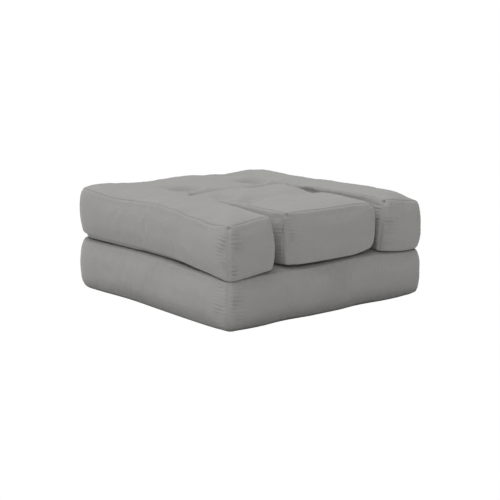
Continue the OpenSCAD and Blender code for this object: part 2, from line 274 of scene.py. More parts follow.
class Grid:
    """Grid lines over a cushion's seam rectangle, less its notch, and the seam round it."""

    def __init__(self, form, step, near, row_step):
        self.xs, column = chain(form.x_stops, step, near)
        self.ys, row = chain(form.y_stops, step, near)
        self.points = np.stack(np.meshgrid(self.xs, self.ys), -1)
        last_x, last_y = len(self.xs) - 1, len(self.ys) - 1
        cells = np.ones((last_y, last_x), bool)
        corners = [(0, 0), (last_x, 0), (last_x, last_y), (0, last_y)]
        if form.notch:
            cells[:row[1], column[1]:column[2]] = False
            corners[1:1] = [(column[1], 0), (column[1], row[1]), (column[2], row[1]),
                            (column[2], 0)]
        self.around = (np.argwhere(cells)[:, None] + AROUND).transpose(2, 0, 1)
        self.ring, self.corners = [], []
        for (i, j), (k, m) in zip(corners, corners[1:] + corners[:1]):
            self.corners.append(len(self.ring))
            count = max(abs(k - i), abs(m - j))
            self.ring += [(j + (m - j) * n // count, i + (k - i) * n // count)
                          for n in range(count)]
        self.ring = tuple(np.array(self.ring).T)
        self.place = self.lengths(self.points[self.ring])
        height = TOP / 2 - FRONT_RADIUS
        self.rows = lines(0, height, row_step, near) / height

    @staticmethod
    def lengths(loop):
        """Distance along a closed loop to each of its points, and its whole length last."""
        sides = np.linalg.norm(np.roll(loop, -1, axis=0) - loop, axis=-1)
        return np.concatenate([[0], np.cumsum(sides)])


class Form:
    """The shape of one cushion. Heights are functions of the plan."""

    def __init__(self, low, high, notch=None, rear_radius=FRONT_RADIUS, draw=0.0):
        self.low, self.high, self.notch, self.draw = low, high, notch, draw
        (x0, y0), (x1, y1) = low, high
        self.rectangles = [(x0, x1, y0, y1)]
        self.x_stops, self.y_stops = [x0, x1], [y0, y1]
        self.shifts, self.tips, self.tufts, self.dimples, self.creases = [], [], [], (), []
        self.round_corners = [((x, y), (side, end), radius)
                              for y, end, radius in ((y0, -1, FRONT_RADIUS), (y1, 1, rear_radius))
                              for x, side in ((x0, -1), (x1, 1))]
        if notch:
            half, depth = notch
            self.rectangles = [(x0, -half, y0, y1), (half, x1, y0, y1), (x0, x1, depth, y1)]
            self.x_stops, self.y_stops = [x0, -half, half, x1], [y0, depth, y1]
            self.round_corners += [((x, y0), (side, -1), FRONT_RADIUS)
                                   for x, side in ((-half, 1), (half, -1))]

    def plan(self, points):
        """The real outline's place for points of the square grid."""
        p = points.copy()
        p[..., 0] += bumps(points, self.shifts)
        for corner, sides, radius in self.round_corners:
            p = rounded(p, corner, sides, radius)
        if self.notch:
            for side in (-1, 1):
                p = filled(p, (side * self.notch[0], self.notch[1]), (-side, -1), NOTCH_RADIUS)
        keep = self.notch[0] if self.notch else 0
        weight = np.clip((np.abs(p[..., 0]) - keep) / (self.high[0] - keep), 0, 1)
        pull = self.draw * np.exp(-(((p[..., 1] - DRAW_AT) / DRAW_REACH) ** 2))
        p[..., 0] -= np.sign(p[..., 0]) * pull * weight
        return p

    def leaned(self, points, share):
        """Leans the walls beside the slits, and the flap's edges by its tips.

        share is 1 at the upper seam and 0 at the lower one.
        """
        p = points.copy()
        p[..., 0] += bumps(points, self.tips) * share
        if not self.notch:
            return p
        half, depth = self.notch
        across = np.abs(p[..., 0])
        beside = np.where(across > half, 1 - ease((across - half) / LEAN_WIDTH),
                          (across / half) ** 3)
        back = ease((p[..., 1] - self.low[1]) / LEAN_LENGTH)
        under = LEAN_UNDER * (1 - 0.5 * back)
        amount = (under + (LEAN_REAR * back - under) * share) * beside
        p[..., 0] -= np.sign(p[..., 0]) * amount * (1 - ease((p[..., 1] - depth) / LEAN_FADE))
        return p

    def rise(self, points, reach):
        """Share of the crown at points of the square grid, 0 at the seams."""
        x, y = points[..., 0], points[..., 1]
        flat = 1.0
        for x0, x1, y0, y1 in self.rectangles:
            inner = 1.0
            for away, line in ((x - x0, x0), (x1 - x, x1), (y - y0, y0), (y1 - y, y1)):
                over = reach * (0.6 if self.is_inner(line) else 1)
                inner = inner * (1 - (1 - np.clip(away / over, 0, 1)) ** SHOULDER)
            flat = flat * (1 - inner)
        return 1 - flat

    def is_inner(self, line):
        """Whether a seam line of the plan lies beside a slit or at the fold."""
        return abs(line - FOLD_PIVOT.y) < 20 * MM or bool(self.notch) and abs(line) == self.notch[0]

    def seam_distance(self, points):
        """Distance of points of the square grid from the nearest seam."""
        away = np.minimum(points - np.array(self.low), np.array(self.high) - points).min(-1)
        if self.notch:
            beside, behind = np.abs(points[..., 0]) - self.notch[0], points[..., 1] - self.notch[1]
            notch = np.where(beside < 0, behind, np.hypot(beside, behind))
            away = np.minimum(away, np.where(behind < 0, beside, notch))
        return np.maximum(away, 0)


class Layout:
    """Vertex numbers, faces and cloth coordinates of a cushion's top, underside and border."""

    def __init__(self, grid):
        self.grid = grid
        used = np.zeros(grid.points.shape[:2], bool)
        used[tuple(grid.around)] = True
        self.count = int(used.sum())
        self.top = np.full(used.shape, -1)
        self.top[used] = np.arange(self.count)
        self.under = np.where(used, self.top + self.count, -1)
        ring = len(grid.ring[0])
        rows = len(grid.rows)
        self.side = np.arange(rows * ring).reshape(rows, ring) + 2 * self.count - ring
        self.side[0] = self.under[grid.ring]
        self.side[-1] = self.top[grid.ring]
        self.total = 2 * self.count + (rows - 2) * ring
        self.used = used

    def quads(self):
        """Corner numbers of all faces: top, underside, border."""
        j, i = self.grid.around
        a, b = self.side[:-1], self.side[1:]
        side = np.stack([a, np.roll(a, -1, 1), np.roll(b, -1, 1), b], -1).reshape(-1, 4)
        return np.concatenate([self.top[j, i], self.under[j, i][:, FLIPPED], side])

    def cloth(self, skin):
        """Cloth coordinates in metres for each face corner, in the order of the faces."""
        top = skin.plan[tuple(self.grid.around)]
        apart = np.array([0, self.grid.ys[-1] - self.grid.ys[0] + LAYER])
        along = np.tile(skin.along, (len(self.grid.rows), 1))
        high = np.tile(self.grid.rows[:, None] * LAYER, (1, len(skin.along)))
        side = np.stack([along, high + 2 * apart[1]], -1)
        a, b = side[:-1], side[1:]
        side = np.stack([a[:, :-1], a[:, 1:], b[:, 1:], b[:, :-1]], 2).reshape(-1, 4, 2)
        return np.concatenate([top, top[:, FLIPPED] + apart, side])

    def pack(self, skin):
        """The vertices of a skin as one list."""
        found = np.zeros((self.total, 3))
        found[self.side.ravel()] = skin.side.reshape(-1, 3)
        found[self.top[self.used]] = skin.top[self.used]
        found[self.under[self.used]] = skin.under[self.used]
        return found


class Skin:
    """Places of a cushion's cover: grids of top and underside, and rows of the border."""

    def __init__(self, form, grid):
        p = grid.points
        self.form, self.grid = form, grid
        flat = form.plan(p)
        self.plan = form.leaned(flat, 1)
        q, below = self.plan, form.leaned(flat, 0)
        seam, low = form.top_seam(q), form.under_seam(below)
        top = seam + form.rise(p, TOP_REACH) * (form.crown(q) - seam)
        under = low + form.rise(p, UNDER_REACH) * (form.underside(below) - low)
        self.top = np.concatenate([q, top[..., None]], -1)
        self.under = np.concatenate([below, under[..., None]], -1)
        line = flat[grid.ring]
        self.along = Grid.lengths(line)
        way = np.roll(line, -1, axis=0) - np.roll(line, 1, axis=0)
        way /= np.linalg.norm(way, axis=-1, keepdims=True)
        self.out = np.stack([way[:, 1], -way[:, 0], np.zeros(len(way))], -1)
        t = grid.rows[:, None]
        amount, square = form.swell(line, self.out)
        power = SWELL_POWER + np.maximum(square, 0) * (t < 0.5)
        swell = (1 - np.abs(2 * t - 1) ** power) ** SWELL_ROUND * amount
        swell *= 1 + np.minimum(square, 0) * np.maximum(1 - 2 * t, 0)
        high, bottom = self.top[grid.ring][:, 2], self.under[grid.ring][:, 2]
        self.side = np.zeros((len(grid.rows), len(line), 3))
        self.side[..., :2] = form.leaned(np.tile(line, (len(t), 1, 1)), t)
        self.side[..., 2] = bottom + (high - bottom) * t
        self.side += swell[..., None] * self.out
        self.folds = np.zeros(self.side.shape[:2])
        if form.notch:
            across, place = self.side[..., 0], grid.points[grid.ring]
            over = (place[:, 1] < form.notch[1]) & (np.abs(across) < SLIT_WALL)
            over &= np.abs(place[:, 0]) <= form.notch[0]
            self.side[..., 0] = np.where(over, np.sign(across) * SLIT_WALL, across)

    def add(self, top, under, side):
        """Moves every point by the given amounts."""
        self.top, self.under, self.side = self.top + top, self.under + under, self.side + side


def base_form():
    """The base: lower at its front edge, its underside rolled up a little round the floor."""
    form = Form(OUTER_LOW.xy, OUTER_HIGH.xy, rear_radius=REAR_RADIUS, draw=DRAW)
    dips = [(-440, -470, 120, -12), (-100, -470, 260, -11), (380, -470, 150, -16),
            (-430, -250, 130, -5), (430, -250, 130, -6), (-430, 330, 130, -3),
            (430, 300, 130, -3), (0, 460, 300, -4)]
    lobes = [(-186, -455, 60, 6), (160, -455, 60, 6), (-430, 140, 120, 3), (430, 60, 120, 3),
             (-150, 455, 80, 5), (170, 455, 80, 5), (-430, -453, 60, 4), (430, -453, 60, 6)]
    form.top_seam = lambda q: LAYER - 2 * MM + bumps(q, dips)
    form.crown = lambda q: np.full(q.shape[:-1], LAYER - HALF_GAP)
    form.under_seam = lambda q: 3 * MM + bumps(q, lobes)
    form.underside = lambda q: np.zeros(q.shape[:-1])
    form.swell = lambda line, out: (np.full(len(line), SWELL), 0)
    form.side_seams = {0: 1.0, 1: 0.4}
    form.creases = [(35, 120, 60, 50, 2.4), (-200, 110, 22, 30, 2.0), (250, 120, 70, 40, 1.2)]
    return form


def upper_form():
    """The U: two arms and a rear section, with sunken tufts and a lip that hangs over the base."""
    depth = FOLD_PIVOT.y + FOLD_SEAM_GAP
    form = Form(OUTER_LOW.xy, OUTER_HIGH.xy, notch=(NOTCH, depth), rear_radius=REAR_RADIUS,
                draw=DRAW)
    inner = [(side * x, y, z - 9 * (side > 0 and y > -90)) for side in (-1, 1)
             for x, y, z in ((262, -440, 367), (258, -380, 369), (252, -300, 371), (244, -200, 373),
                             (236, -100, 374), (231, -20, 373), (231, 40, 371), (160, 62, 363))]
    seams = inner + [
        (-428, -455, 352), (-428, -368, 343), (-428, -269, 354), (-425, -142, 365),
        (-420, -59, 371), (-420, 30, 367), (-420, 111, 361), (-422, 200, 358), (-425, 256, 358),
        (-425, 310, 367), (-400, 410, 370), (-300, 453, 362), (-150, 453, 357), (0, 453, 360),
        (150, 453, 357), (300, 453, 350), (405, 400, 362), (425, 250, 359), (425, 100, 361),
        (425, -50, 365), (425, -200, 366), (428, -320, 363), (428, -400, 352), (428, -455, 342),
        (-395, -453, 352), (-335, -453, 360), (-280, -453, 365), (275, -453, 364),
        (337, -453, 355), (400, -453, 347), (-80, 62, 364), (0, 62, 365), (80, 62, 364)]
    tops = [(-120, 385, 110, -11), (30, 400, 80, 1), (200, 390, 100, -16), (310, 370, 80, -20),
            (-370, 400, 90, 2), (400, 180, 120, -10), (350, -330, 150, 1), (0, 170, 90, -2),
            (-290, -40, 110, 4), (-290, -200, 90, 4), (-290, -330, 70, 2), (-300, -440, 80, -4),
            (-110, 95, 60, 3)]
    lips = [(-440, -470, 110, -17), (-330, -470, 120, -9), (380, -470, 130, -20),
            (440, -330, 120, -6), (-430, -300, 110, -4)]
    form.top_seam = lambda q: field(q, seams, 48)
    form.crown = lambda q: TOP + bumps(q, tops) - TUFT_SINK * dish(q, REAR_TUFTS, TUFT_REACH)
    form.under_seam = lambda q: (LAYER + 3 * MM + 12 * MM * ease((q[..., 1] / MM + 320) / 230)
                                 + bumps(q, lips))
    form.underside = lambda q: np.full(q.shape[:-1], LAYER + HALF_GAP)

    def swell(line, out):
        across = np.abs(line[:, 0])
        inner = ease((NOTCH + 20 * MM - across) / (20 * MM)) * (line[:, 1] < depth + 1 * MM)
        at_fold = inner * ease((240 * MM - across) / (35 * MM))
        forward = ease((-line[:, 1] - 100 * MM) / (250 * MM))
        wall = inner * (1 - at_fold)
        return (SWELL - 4 * MM * wall - (SWELL - FOLD_SEAM_GAP) * at_fold, -0.45 * wall * forward)

    form.swell = swell
    form.side_seams, form.dimples = {0: 1.0, 1: 0.5, 4: 1.0, 5: 0.4}, (0, 4)
    form.tufts = REAR_TUFTS
    return form


def flap_form():
    """The backrest flap: a sewn channel across it, and a front that lifts off the base."""
    high = Vector((FLAP_HIGH.x, FOLD_PIVOT.y - FOLD_SEAM_GAP))
    form = Form(FLAP_LOW.xy, high, rear_radius=6 * MM)
    form.shifts = [(-193, -453, 130, 8)]
    form.tips = [(193, -15, 95, 20), (-193, 20, 60, -18), (-193, -120, 90, -18)]
    seams = [(-192, -453, 368), (-114, -453, 366), (-15, -453, 365), (87, -453, 365),
             (192, -453, 362), (192, -380, 366), (192, -300, 370), (192, -220, 364),
             (192, -160, 356), (192, -90, 366), (192, 0, 367), (192, 45, 363), (0, 48, 361),
             (-192, 45, 366), (-192, 5, 365), (-192, -50, 362), (-192, -100, 362),
             (-192, -150, 370), (-192, -210, 369), (-192, -300, 368), (-192, -390, 367)]
    hollows = [(x / MM, y / MM, 42, -5) for x, y in FLAP_TUFTS]
    hollows += [(-155, -75, 44, -30), (-110, -25, 45, -6), (-165, -190, 45, -8),
                (190, -130, 45, -8), (150, -290, 120, 4), (150, 0, 60, 1), (130, 40, 60, -5)]
    lips = [(0, -470, 260, -5), (-190, -460, 40, 8), (190, -460, 45, 11)]
    form.top_seam = lambda q: field(q, seams, 60)
    form.crown = lambda q: (TOP + 1 * MM + bumps(q, hollows) - CHANNEL_SINK
                            * np.exp(-(((q[..., 1] - CHANNEL_Y) / CHANNEL_REACH) ** 2)))
    form.under_seam = lambda q: LAYER + 3 * MM + bumps(q, lips)
    form.underside = lambda q: np.full(q.shape[:-1], LAYER + HALF_GAP)

    def swell(line, out):
        behind = np.maximum(out[:, 1], 0) ** 2
        beside = (4 * MM - np.abs(bumps(line, form.tips))) * out[:, 0] ** 2
        beside -= bumps(line, [(-187, -453, 40, 15)])
        return SWELL + beside - (SWELL - FOLD_SEAM_GAP + 2 * HALF_GAP) * behind, 1.5

    form.swell = swell
    form.side_seams, form.dimples = {0: 1.0, 1: 0.6, 2: 0.2, 3: 0.2}, (0, 1)
    form.tufts = FLAP_TUFTS
    return form


def add_details(skin, settings):
    """Sinks the seams, puckers the corners and creases the cloth of a cover."""
    form, grid = skin.form, skin.grid
    p, q = grid.points, skin.plan
    seam, width = settings.seam_depth, settings.seam_width
    away = form.seam_distance(p)
    rise = form.rise(p, TOP_REACH)

    # Panels: the seam's groove, gathers that run away from it, and broad unevenness
    groove = -seam * np.exp(-((away / width) ** 2)) * (away > 0)
    near = np.exp(-away / GATHER_RUN) * (1 - np.exp(-((away / GATHER_START) ** 2)))
    lift = groove + near * GATHER * waves(q, 26 * MM, 5) + rise * swells(q, TOP_SWELLS)
    for n, (x, y) in enumerate(form.tufts):
        r = np.hypot(q[..., 0] - x, q[..., 1] - y)
        turn = np.arctan2(q[..., 1] - y, q[..., 0] - x)
        rays = np.sin(7 * turn + n) + 0.6 * np.sin(11 * turn + 2 * n)
        lift = lift + rise * GATHER * rays * np.exp(-(((r - RAY_RING) / RAY_WIDTH) ** 2))
    top = np.zeros_like(skin.top)
    top[..., 2] = lift

    # Border: unevenness, gathers at both seams, corner seams with their puckers, dimples
    side = skin.side
    height = side[-1, :, 2] - side[0, :, 2]
    down = (1 - grid.rows)[:, None] * height
    up = grid.rows[:, None] * height
    edge = np.minimum(down, up)
    body = ease(edge / (40 * MM))
    out = body * swells(side, SIDE_SWELLS)
    out = out - seam * np.exp(-((edge / width) ** 2)) * (edge > 0)
    flat = side[..., :2]
    out = out + (SIDE_GATHER * waves(flat, 24 * MM, 23) * np.exp(-edge / SIDE_GATHER_RUN)
                 * ease(edge / GATHER_START))
    total = skin.along[-1]
    for n, amount in form.side_seams.items():
        start = grid.corners[n]
        apart = (skin.along[:-1] - skin.along[start] + total / 2) % total - total / 2
        gap = np.abs(apart)
        out = out - seam * np.exp(-((gap / width) ** 2)) * ease(edge / (10 * MM))
        bend = 1.4 * waves(side, 60 * MM, 31 + n)
        pleats = np.sin(TAU * up / settings.pucker_pitch + bend + 1.7 * np.sign(apart) + n)
        strength = np.clip(0.6 + 0.6 * waves(side, 45 * MM, 41 + n), 0.1, 1.4)
        fade = np.exp(-((gap / settings.pucker_reach) ** 2))
        fade = fade * (1 - np.exp(-((gap / (4 * MM)) ** 2)))
        out = out + (amount * settings.pucker_height * pleats * strength * fade
                     * ease(edge / (14 * MM)))
        if n in form.dimples:
            dot = np.hypot(apart, down - DIMPLE_DOWN)
            out = out - DIMPLE_SINK * np.exp(-((dot / DIMPLE_REACH) ** 2))
    for x, z, wide, tall, depth in form.creases:
        window = np.exp(-(((flat[..., 0] - x * MM) / (wide * MM)) ** 2)
                        - ((side[..., 2] - z * MM) / (tall * MM)) ** 2)
        window *= ease((-skin.out[:, 1] - 0.8) / 0.2)
        folds = np.sin(TAU * flat[..., 0] / CREASE_PITCH + waves(side, 90 * MM, 51))
        out = out + depth * MM * folds * window
        skin.folds = skin.folds + depth * window
    moved = out[..., None] * skin.out

    # The seam line itself sinks in diagonally
    ring = grid.ring
    top[ring] += 0.7 * seam * (-skin.out - Vector((0, 0, 1)))
    under = np.zeros_like(skin.under)
    under[ring] += 0.7 * seam * -skin.out
    moved[-1], moved[0] = top[ring], under[ring]
    skin.add(top, under, moved)


def linked(name, data):
    """A new object in the scene."""
    piece = bpy.data.objects.new(name, data)
    bpy.context.scene.collection.objects.link(piece)
    return piece


def vertices(mesh):
    """The places of a mesh's vertices."""
    found = np.zeros(len(mesh.vertices) * 3)
    mesh.vertices.foreach_get("co", found)
    return found.reshape(-1, 3)


def new_mesh(name, points, quads, cloth=None):
    """A mesh object of four-cornered faces, with smooth shading and its cloth coordinates."""
    mesh = bpy.data.meshes.new(name)
    mesh.from_pydata(points.tolist(), [], quads.tolist())
    if cloth is not None:
        layer = mesh.uv_layers.new(name="cloth")
        layer.data.foreach_set("uv", cloth.reshape(-1).astype(np.float32))
    mesh.polygons.foreach_set("use_smooth", [True] * len(mesh.polygons))
    mesh.update()
    return linked(name, mesh)


def inflated(form, settings):
    """How the cloth of a cover moves under its filling's pressure: amounts on a coarse grid."""
    grid = Grid(form, CAGE_STEP, (0,), CAGE_ROW)
    skin = Skin(form, grid)
    layout = Layout(grid)
    cage = new_mesh("cage", layout.pack(skin), layout.quads())
    held = set(layout.under[layout.used].tolist()) | set(layout.side[-1].tolist())
    for x, y in form.tufts:
        near = np.hypot(skin.plan[..., 0] - x, skin.plan[..., 1] - y) < 2 * CAGE_STEP
        held |= set(layout.top[near & layout.used].tolist())
    group = cage.vertex_groups.new(name="held")
    group.add(sorted(held), 1.0, "REPLACE")
    cloth = cage.modifiers.new("cloth", "CLOTH")
    for key, value in {"quality": 5, "use_pressure": True, "vertex_group_mass": "held",
                       "uniform_pressure_force": settings.pressure,
                       "shrink_min": -settings.slack, "bending_stiffness": 0.2}.items():
        setattr(cloth.settings, key, value)
    cloth.settings.effector_weights.gravity = 0
    cloth.point_cache.frame_start = 1
    cloth.point_cache.frame_end = FRAMES
    scene = bpy.context.scene
    for number in range(1, FRAMES + 1):
        scene.frame_set(number)
    shape = cage.evaluated_get(bpy.context.evaluated_depsgraph_get()).to_mesh()
    moved = vertices(shape) - layout.pack(skin)
    length = np.linalg.norm(moved, axis=-1, keepdims=True)
    moved *= np.minimum(1, settings.swell_cap / np.maximum(length, 1e-9))
    scene.frame_set(1)
    bpy.data.objects.remove(cage)
    return grid, moved[layout.top], moved[layout.under], moved[layout.side]


def layer(name, form, low, under_cover):
    """A layer of filling with a flat underside at low, whose top follows the cover's."""
    grid = Grid(form, CAGE_STEP * 0.8, (0, 18 * MM), CAGE_ROW)
    skin = Skin(form, grid)
    away = form.seam_distance(grid.points)
    j, i = grid.around
    number = np.arange(away.size).reshape(away.shape)
    top = number[j, i][away[j, i].min(1) > FELT_MARGIN]
    edges = {tuple(pair) for quad in top.tolist() for pair in zip(quad, quad[1:] + quad[:1])}
    rim = np.array([pair for pair in sorted(edges) if pair[::-1] not in edges])
    walls = np.stack([rim[:, 1], rim[:, 0], rim[:, 0] + away.size, rim[:, 1] + away.size], -1)
    quads = np.concatenate([top, top[:, ::-1] + away.size, walls])
    points = np.concatenate([skin.top.reshape(-1, 3)] * 2)
    points[:away.size, 2] = np.maximum(points[:away.size, 2] - under_cover, low + 1 * MM)
    points[away.size:, 2] = low
    used, quads = np.unique(quads, return_inverse=True)
    return new_mesh(name, points[used], quads.reshape(-1, 4))


def strip(name, length, profile, thick):
    """A strip of cloth along X through the points (y, z) of its profile, with real thickness."""
    count = max(2, round(length / (10 * MM)))
    x = np.linspace(-length / 2, length / 2, count + 1)
    line = np.array(profile)
    way = np.gradient(line, axis=0)
    way /= np.linalg.norm(way, axis=-1, keepdims=True)
    normal = np.stack([-way[:, 1], way[:, 0]], -1) * thick / 2
    loop = np.concatenate([line + normal, (line - normal)[::-1]])
    n = len(loop)
    points = np.concatenate([np.repeat(x, n)[:, None], np.tile(loop, (len(x), 1))], -1)
    number = np.arange(len(points)).reshape(-1, n)
    a, b = number[:-1], number[1:]
    around = np.stack([a, np.roll(a, -1, 1), np.roll(b, -1, 1), b], -1).reshape(-1, 4)
    k = np.arange(len(line) - 1)
    end = np.stack([k, k + 1, n - 2 - k, n - 1 - k], -1)
    quads = np.concatenate([around[:, ::-1], number[0][end], number[-1][end][:, ::-1]])
    across = Grid.lengths(loop)
    cloth = np.stack([points[quads][..., 0], across[quads % n]], -1)
    piece = new_mesh(name, points, quads, cloth)
    piece.data.materials.append(strip_cloth())
    return piece


def cushion(name, body, form, settings):
    """One cushion's cover: inflated on a coarse grid, taken to a fine one, and detailed there."""
    grid = Grid(form, STEP, NEAR_SEAM, ROW_STEP)
    skin = Skin(form, grid)
    layout = Layout(grid)
    cage, top, under, side = inflated(form, settings)
    top = spread(spread(top, cage.ys, grid.ys, 0), cage.xs, grid.xs, 1)
    side = np.concatenate([side, side[:, :1]], 1)
    side = spread(spread(side, cage.rows, grid.rows, 0), cage.place, grid.place[:-1], 1)
    top[grid.ring] = 0
    side[0] = side[-1] = 0
    skin.add(settings.top_share * top, np.zeros_like(skin.under), side)
    add_details(skin, settings)
    points = layout.pack(skin)
    piece = new_mesh(name, points, layout.quads(), layout.cloth(skin))
    folds = np.zeros(len(points), np.float32)
    folds[layout.side.ravel()] = skin.folds.ravel()
    piece.data.attributes.new("folds", "FLOAT", "POINT").data.foreach_set("value", folds)
    piece.data.materials.append(cover_cloth())
    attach(piece, body)
    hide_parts(*[n for n in frame["nodes"] if n in (body + "_top_panel", body + "_border",
                                                            body + "_bottom_panel")])
    return piece


def stitch_tree():
    """Geometry Nodes that turn points with a direction "way" into stitches; made once."""
    tree = bpy.data.node_groups.get("stitches")
    if tree:
        return tree
    tree = bpy.data.node_groups.new("stitches", "GeometryNodeTree")
    for name, kind in (("Points", "Geometry"), ("Thickness", "Float"), ("Thread", "Material")):
        tree.interface.new_socket(name, in_out="INPUT", socket_type="NodeSocket" + kind)
    tree.interface.new_socket("Stitches", in_out="OUTPUT", socket_type="NodeSocketGeometry")

    s = Nodes(tree)
    given = s.node("NodeGroupInput")
    thick = given.out("Thickness")
    way = s.node("GeometryNodeInputNamedAttribute", {"data_type": "FLOAT_VECTOR"},
                 {"Name": "way"}, "Attribute")
    span = s.node("ShaderNodeVectorMath", {"operation": "LENGTH"}, {"Vector": way}, "Value")
    scale = s.node("ShaderNodeCombineXYZ", values={"X": thick, "Y": thick, "Z": span})
    turn = s.node("FunctionNodeAlignRotationToVector", {"axis": "Z"}, {"Vector": way})
    bead = s.node("GeometryNodeMeshUVSphere", values={"Segments": 8, "Rings": 6, "Radius": 0.5})
    laid = s.node("GeometryNodeInstanceOnPoints", values={
        "Points": given.out("Points"), "Instance": bead, "Rotation": turn, "Scale": scale})
    real = s.node("GeometryNodeRealizeInstances", values={"Geometry": laid})
    smooth = s.node("GeometryNodeSetShadeSmooth", values={"Geometry": real})
    dyed = s.node("GeometryNodeSetMaterial",
                  values={"Geometry": smooth, "Material": given.out("Thread")})
    s.give(tree.nodes.new("NodeGroupOutput").inputs["Stitches"], dyed)
    return tree


def stitched(name, body, table, thread):
    """One mesh of stitches on a body. The table holds the middle and the direction of each."""
    seeds = bpy.data.meshes.new(name + "_seeds")
    seeds.from_pydata([middle for middle, way in table], [], [])
    seeds.attributes.new("way", "FLOAT_VECTOR", "POINT").data.foreach_set(
        "vector", np.array([way for middle, way in table], np.float32).ravel())
    holder = linked(name + "_seeds", seeds)
    modifier = holder.modifiers.new("stitches", "NODES")
    modifier.node_group = stitch_tree()
    for item in modifier.node_group.interface.items_tree:
        if item.name in ("Thickness", "Thread"):
            modifier[item.identifier] = THREAD if item.name == "Thickness" else thread
    depsgraph = bpy.context.evaluated_depsgraph_get()
    mesh = bpy.data.meshes.new_from_object(holder.evaluated_get(depsgraph))
    mesh.name = name
    bpy.data.objects.remove(holder)
    piece = linked(name, mesh)
    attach(piece, body)


class Value:
    """A socket whose arithmetic adds Math nodes."""

    def __init__(self, nodes, socket):
        self.nodes, self.socket = nodes, socket

    def out(self, key):
        """Another output of the same node."""
        return Value(self.nodes, self.socket.node.outputs[key])

    def math(self, operation, *others):
        """A Math node on this socket and others."""
        return self.nodes.node("ShaderNodeMath", {"operation": operation},
                               dict(enumerate((self, *others))))

    def __add__(self, other):
        return self.math("ADD", other)

    def __mul__(self, other):
        return self.math("MULTIPLY", other)

    def __sub__(self, other):
        return self.math("SUBTRACT", other)


class Nodes:
    """The one way in which nodes are added to a tree."""

    def __init__(self, tree):
        self.tree = tree

    def node(self, kind, settings=None, values=None, out=0):
        """Adds a node: its settings first, then the values or links of its sockets."""
        made = self.tree.nodes.new(kind)
        for key, value in (settings or {}).items():
            setattr(made, key, value)
        for key, value in (values or {}).items():
            self.give(made.inputs[key], value)
        return Value(self, made.outputs[out])

    def give(self, socket, value):
        """Links or sets one socket."""
        if isinstance(value, Value):
            self.tree.links.new(value.socket, socket)
        else:
            socket.default_value = value


class Shader(Nodes):
    """A new material."""

    def __init__(self, name):
        self.material = bpy.data.materials.new(name)
        self.material.use_nodes = True
        super().__init__(self.material.node_tree)
        self.surface = self.tree.nodes["Principled BSDF"]

    def noise(self, place, scale, detail):
        """A noise texture."""
        return self.node("ShaderNodeTexNoise",
                         values={"Vector": place, "Scale": scale, "Detail": detail})

    def mix(self, share, low, high):
        """A mix of two colours."""
        return self.node("ShaderNodeMix", {"data_type": "RGBA"}, {0: share, 6: low, 7: high}, 2)

    def bump(self, strength, distance, height, **more):
        """A bump of the surface."""
        return self.node("ShaderNodeBump", values={"Strength": strength, "Distance": distance,
                                                   "Height": height, **more})

    def finish(self, **values):
        """Sets the surface's sockets, named with _ for spaces."""
        for key, value in values.items():
            self.give(self.surface.inputs[key.replace("_", " ")], value)
        return self.material


def shade(colour, share):
    """A colour made lighter or darker, with alpha."""
    return tuple(min(1, c * share) for c in colour[:3]) + (1,)


def woven(name, colour, weave, variation, roughness, sheen):
    """Plain-woven cotton: warp and weft, slubs along both, and a slight mottle."""
    s = Shader(name)
    uv = s.node("ShaderNodeUVMap", {"uv_map": "cloth"})
    u = s.node("ShaderNodeSeparateXYZ", values={0: uv})
    over = (u * (TAU / weave)).math("SINE") * (u.out(1) * (TAU / weave)).math("SINE")
    along = s.node("ShaderNodeMapping", values={0: uv, "Scale": (40, 900, 1)})
    across = s.node("ShaderNodeMapping", values={0: uv, "Scale": (900, 40, 1)})
    slub = s.noise(along, 1.0, 2.0) + s.noise(across, 1.0, 2.0)
    mottle = s.noise(s.node("ShaderNodeTexCoord", out=3), 9.0, 4.0)
    share = (slub - 1) * 1.3 + (mottle - 0.5) * 1.0 + 0.5
    tint = s.mix(share, shade(colour, 1 - variation), shade(colour, 1 + variation))
    height = over * 0.5 + (slub - 1) * 0.8
    bump = s.bump(0.35, WEAVE_BUMP, height)
    folds = s.node("ShaderNodeAttribute", {"attribute_name": "folds"}, out=2)
    ripple = (u * (TAU / RIPPLE_PITCH) + s.noise(uv, 14.0, 1.0) * 9).math("SINE") * folds
    bump = s.bump(1.0, RIPPLE_BUMP, ripple, Normal=bump)
    return s.finish(Base_Color=tint, Normal=bump, Roughness=roughness, Sheen_Weight=sheen,
                    Sheen_Roughness=0.5, Specular_IOR_Level=0.15)


def cover_cloth():
    """The covers' grey cotton, made once."""
    found = bpy.data.materials.get("grey_cotton")
    looks = bpy.context.scene.chair_bed_cloth
    return found or woven("grey_cotton", looks.colour, looks.weave, looks.variation, 0.9, 0.1)


def strip_cloth():
    """The hinge strips' darker, closer cotton, made once."""
    found = bpy.data.materials.get("strip_cotton")
    looks = bpy.context.scene.chair_bed_cloth
    return found or woven("strip_cotton", shade(looks.colour, 0.85), looks.weave * 0.7,
                          looks.variation, 0.92, 0.08)


def fibre(name, colour, scale, depth, roughness, detail=6.0):
    """Felt, foam or cord: a mottled, uneven surface."""
    s = Shader(name)
    place = s.node("ShaderNodeTexCoord", out=3)
    fine, broad = s.noise(place, scale, detail), s.noise(place, scale / 12, 2.0)
    tint = s.mix(fine * 0.6 + broad * 0.4, shade(colour, 0.86), shade(colour, 1.1))
    return s.finish(Base_Color=tint, Normal=s.bump(0.6, depth, fine), Roughness=roughness)


def setting(name, about, value, **more):
    """A number that the panel shows."""
    return FloatProperty(name=name, description=about, default=value, **more)


SHARE = {"subtype": "FACTOR", "min": 0, "max": 1}


